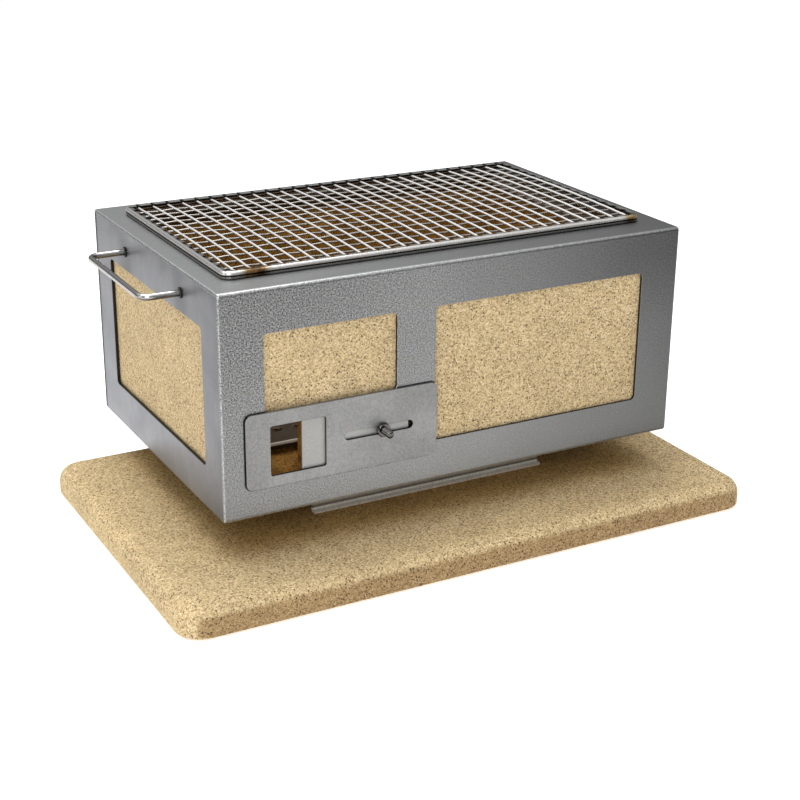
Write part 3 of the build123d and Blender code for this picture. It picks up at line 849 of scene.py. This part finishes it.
def rough_slab(material):
    """The base board with the small unevenness of pressed flakes, most of it along its edge."""
    mesh = NODES["base_board"].data.copy()
    piece = bpy.data.objects.new("pressed_board", mesh)
    bpy.context.scene.collection.objects.link(piece)
    remesh = piece.modifiers.new("remesh", "REMESH")
    remesh.mode = "VOXEL"
    remesh.voxel_size = BOARD_CELL
    bpy.context.view_layer.update()
    graph = bpy.context.evaluated_depsgraph_get()
    dense = bpy.data.meshes.new_from_object(piece.evaluated_get(graph))
    bpy.data.objects.remove(piece)
    low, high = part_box("base_board")
    places = [vertex.co.copy() for vertex in dense.vertices]
    normals = [vertex.normal.copy() for vertex in dense.vertices]
    for vertex, place, normal in zip(dense.vertices, places, normals):
        edge_distance = min(place.x - low.x, high.x - place.x, place.y - low.y, high.y - place.y)
        at_edge = max(0.0, 1.0 - edge_distance / ROUGH_BAND)
        fine = 0.5 + 0.5 * noise.noise(place / FINE_LUMP)
        broad = 0.5 + 0.5 * noise.noise(place / BROAD_LUMP + Vector((5.0, 2.0, 1.0)))
        inward = (0.08 + 0.22 * at_edge) * fine + 0.35 * at_edge * broad
        # the underside stays almost flat
        if place.z < low.z + 2 * MM:
            inward *= 0.3
        moved = place - normal * inward * MM
        moved.z = max(moved.z, low.z)
        vertex.co = moved
    new_piece("pressed_board", dense, material, "base", "board_vermiculite", "base_board")


def hex_nut(material):
    """The damper's nut, along Y, with chamfered corners and a round hole."""
    low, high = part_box("damper_nut")
    middle_x = (low.x + high.x) / 2
    middle_z = (low.z + high.z) / 2
    apothem = (high.z - low.z) / 2
    sector = math.pi / 3
    profile = [
        ("hole", low.y),
        ("face", low.y),
        ("corner", low.y + NUT_CHAMFER),
        ("corner", high.y),
        ("hole", high.y),
    ]
    build = bmesh.new()
    rings = []
    for kind, y in profile:
        ring = []
        for turn in range(NUT_TURNS):
            angle = 2 * math.pi * turn / NUT_TURNS
            from_flat = (angle - math.pi / 2 + sector / 2) % sector - sector / 2
            full = apothem / math.cos(from_flat)
            face = min(full, apothem * 1.01) * 0.97
            radius = {"hole": NUT_HOLE_RADIUS, "face": face, "corner": full}[kind]
            depth = y
            # the chamfer is cut round, so it is deepest at the corners
            if kind == "corner" and y < high.y:
                corner_share = (full - apothem) / (apothem * HEX_CORNER)
                depth = low.y + NUT_CHAMFER * (0.15 + 0.85 * corner_share)
            x = middle_x + radius * math.cos(angle)
            z = middle_z + radius * math.sin(angle)
            ring.append(build.verts.new((x, depth, z)))
        rings.append(ring)
    join_rings(build, rings, rings[1:] + rings[:1])
    mesh = finish_mesh(build, "damper_hex_nut")
    piece = new_piece("damper_hex_nut", mesh, material, "damper", "fastener_steel", "damper_nut")
    sharpen(piece, 32)


def threaded_stud(material):
    """The damper's stud with a turned thread and a chamfered end."""
    low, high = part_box("damper_stud")
    middle_x = (low.x + high.x) / 2
    middle_z = (low.z + high.z) / 2
    radius = (high.x - low.x) / 2
    length = high.y - low.y
    steps = int(length / THREAD_PITCH * 8)
    build = bmesh.new()
    rings = []
    for step in range(steps + 1):
        y = high.y - length * step / steps
        ring = []
        for turn in range(ROUND_SIDES):
            angle = 2 * math.pi * turn / ROUND_SIDES
            phase = ((high.y - y) / THREAD_PITCH + turn / ROUND_SIDES) % 1.0
            tooth = abs(2 * phase - 1)
            taper = max(0.0, STUD_CHAMFER - (y - low.y))
            here = min(radius - THREAD_DEPTH * tooth, radius - taper)
            x = middle_x + here * math.cos(angle)
            z = middle_z + here * math.sin(angle)
            ring.append(build.verts.new((x, y, z)))
        rings.append(ring)
    join_rings(build, rings, rings[1:])
    build.faces.new(rings[0])
    build.faces.new(rings[-1][::-1])
    mesh = finish_mesh(build, "threaded_stud")
    new_piece("threaded_stud", mesh, material, "damper", "fastener_steel", "damper_stud")


def bent_handle(side, material):
    """A handle's polished rod with evenly rounded bends."""
    node = "left_handle" if side < 0 else "right_handle"
    low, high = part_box(node)
    radius = (high.z - low.z) / 2
    level = (low.z + high.z) / 2
    near, far = (high.x, low.x) if side < 0 else (low.x, high.x)
    far_line = far - side * radius
    bend_line = far_line - side * HANDLE_BEND
    straight_line = far_line - side * HANDLE_BEND * 1.2
    front, back = low.y + radius, high.y - radius
    path = []

    def run(start, end, pieces):
        for step in range(pieces):
            path.append(start.lerp(end, step / pieces))

    def corner(centre_y, start, stop):
        for step in range(13):
            angle = start + (stop - start) * step / 12
            x = bend_line + side * HANDLE_BEND * math.cos(angle)
            y = centre_y + HANDLE_BEND * math.sin(angle)
            path.append(Vector((x, y, level)))

    run(Vector((near, front, level)), Vector((bend_line, front, level)), 10)
    corner(front + HANDLE_BEND, -math.pi / 2, 0.0)
    long_start = Vector((far_line, front + HANDLE_BEND * 1.2, level))
    long_end = Vector((far_line, back - HANDLE_BEND * 1.2, level))
    run(long_start, long_end, 16)
    corner(back - HANDLE_BEND, 0.0, math.pi / 2)
    run(Vector((straight_line, back, level)), Vector((near, back, level)), 10)
    path.append(Vector((near, back, level)))
    build = bmesh.new()
    tube(build, path, radius, ROUND_SIDES)
    name = "polished_" + node
    mesh = finish_mesh(build, name)
    sharpen(new_piece(name, mesh, material, "firebox", "handle_steel", node), 50)


# ------------------------------------------------------------------- the scene


def make_materials():
    """One material for each slot of the record, and five for pieces that differ from their slot."""
    return {
        "board_vermiculite": base_slab_board(),
        "lining_vermiculite": lining_board(),
        "casing_steel": sheet_steel(),
        "panel_steel": end_panel(),
        "vent_steel": plate_steel(
            "vent_steel",
            (0.25, 0.25, 0.246),
            grain=0.17,
            rough=0.44,
            relief=0.05 * MM,
            cut_node="vent_plate",
        ),
        "damper_steel": plate_steel(
            "damper_steel",
            (0.36, 0.36, 0.345),
            grain=0.10,
            rough=0.55,
            relief=0.03 * MM,
            metallic=0.6,
        ),
        "foot_steel": foot_steel(),
        "handle_steel": bright_steel("handle_steel", (0.56, 0.55, 0.535), 0.16, under=0.22),
        "fastener_steel": bright_steel("fastener_steel", (0.26, 0.25, 0.235), 0.26),
        "inner_steel": grate_steel(),
        "net_steel": wire_steel("net_steel", (0.46, 0.45, 0.425), 1.0),
        # painted light and shade: the long wires get a lit copy of the wire steel and the cross
        # wires a shaded one
        "lit_wire": wire_steel("lit_wire", (0.97, 0.965, 0.95), 0.42),
        "shaded_wire": wire_steel("shaded_wire", (0.44, 0.425, 0.39), 0.9),
        "rim_steel": rim_steel(),
        # painted shade: near-black steel for the handle collars and the wire ends, which sit in
        # shadow
        "shaded_dark_steel": bright_steel("shaded_dark_steel", (0.03, 0.028, 0.026), 0.34),
        "stud_steel": bright_steel("stud_steel", (0.17, 0.165, 0.155), 0.12, under=0.15),
    }


def dress_cad_nodes(materials):
    """Paints every CAD node by its slot, and then the rim and the collars on their own."""
    for row in frame["record"]["subparts"]:
        paint(row["node"], materials[row["material_slot"]])
        sharpen(NODES[row["node"]], 30)
    paint("net_rim", materials["rim_steel"])
    # the collars get near-black steel as painted shade
    paint("handle_collars", materials["shaded_dark_steel"])


def make_floor():
    """A wide floor at the level of the base board's underside."""
    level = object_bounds()[0].z
    turns = ((-1, -1), (1, -1), (1, 1), (-1, 1))
    corners = [(x * FLOOR_HALF_SIDE, y * FLOOR_HALF_SIDE, level) for x, y in turns]
    mesh = bpy.data.meshes.new("studio_floor")
    mesh.from_pydata(corners, [], [(0, 1, 2, 3)])
    floor = bpy.data.objects.new("studio_floor", mesh)
    bpy.context.scene.collection.objects.link(floor)
    mesh.materials.append(floor_paint())


def area_light(name, place, width, height, power):
    """A softbox that faces the middle of the grill."""
    light = bpy.data.lights.new(name, "AREA")
    light.shape = "RECTANGLE"
    light.size = width
    light.size_y = height
    light.energy = power
    holder = bpy.data.objects.new(name, light)
    holder.location = place
    holder.rotation_mode = "QUATERNION"
    holder.rotation_quaternion = (Vector(LIGHT_TARGET) - Vector(place)).to_track_quat("-Z", "Y")
    bpy.context.scene.collection.objects.link(holder)


def make_light():
    """A dim horizon under a bright ceiling, and three softboxes."""
    scene = bpy.context.scene
    world = bpy.data.worlds.new("studio")
    world.use_nodes = True
    tree = world.node_tree
    background = tree.nodes["Background"]
    place = tree.nodes.new("ShaderNodeTexCoord")
    split = tree.nodes.new("ShaderNodeSeparateXYZ")
    fade = tree.nodes.new("ShaderNodeValToRGB")
    tree.links.new(place.outputs["Generated"], split.inputs["Vector"])
    tree.links.new(split.outputs["Z"], fade.inputs["Fac"])
    tree.links.new(fade.outputs["Color"], background.inputs["Color"])
    # the dim horizon gives round bars a light and a dark side
    levels = [(0.0, 0.16), (0.38, 0.30), (0.70, 0.86), (1.0, 1.0)]
    stops = fade.color_ramp.elements
    while len(stops) < len(levels):
        stops.new(0.5)
    for stop, (position, level) in zip(stops, levels):
        stop.position = position
        stop.color = (level, level, level, 1.0)
    background.inputs["Strength"].default_value = 0.88
    scene.world = world
    area_light("top_softbox", (-0.15, 0.30, 1.5), width=1.3, height=0.9, power=18.0)
    area_light("front_softbox", (-1.0, -1.5, 0.9), width=1.0, height=0.7, power=10.0)
    area_light("left_softbox", (-1.9, -0.2, 0.7), width=0.8, height=0.6, power=2.6)
    scene.view_settings.view_transform = "Standard"


def make_camera():
    """The solved camera, with its roll."""
    azimuth, elevation = CAMERA_AZIMUTH, CAMERA_ELEVATION
    forward = Vector(
        (
            math.sin(azimuth) * math.cos(elevation),
            math.cos(azimuth) * math.cos(elevation),
            -math.sin(elevation),
        )
    )
    right = Vector((math.cos(azimuth), -math.sin(azimuth), 0.0))
    up = right.cross(forward)
    level = Matrix((right, up, -forward)).transposed()
    turned = level @ Matrix.Rotation(CAMERA_ROLL, 3, "Z")
    data = bpy.data.cameras.new("camera")
    data.lens = CAMERA_LENS
    data.sensor_width = CAMERA_SENSOR
    data.clip_start = 0.05
    data.clip_end = 100.0
    camera = bpy.data.objects.new("camera", data)
    camera.matrix_world = Matrix.Translation(CAMERA_PLACE) @ turned.to_4x4()
    bpy.context.scene.collection.objects.link(camera)
    bpy.context.scene.camera = camera


materials = make_materials()
dress_cad_nodes(materials)
rough_slab(materials["board_vermiculite"])
woven_long_wires(materials["lit_wire"])
woven_cross_wires(materials["shaded_wire"])
# the wire ends get near-black steel as painted shade
wire_end_knobs(materials["shaded_dark_steel"])
bent_handle(-1, materials["handle_steel"])
bent_handle(1, materials["handle_steel"])
threaded_stud(materials["stud_steel"])
hex_nut(materials["stud_steel"])
make_floor()
make_light()
make_camera()
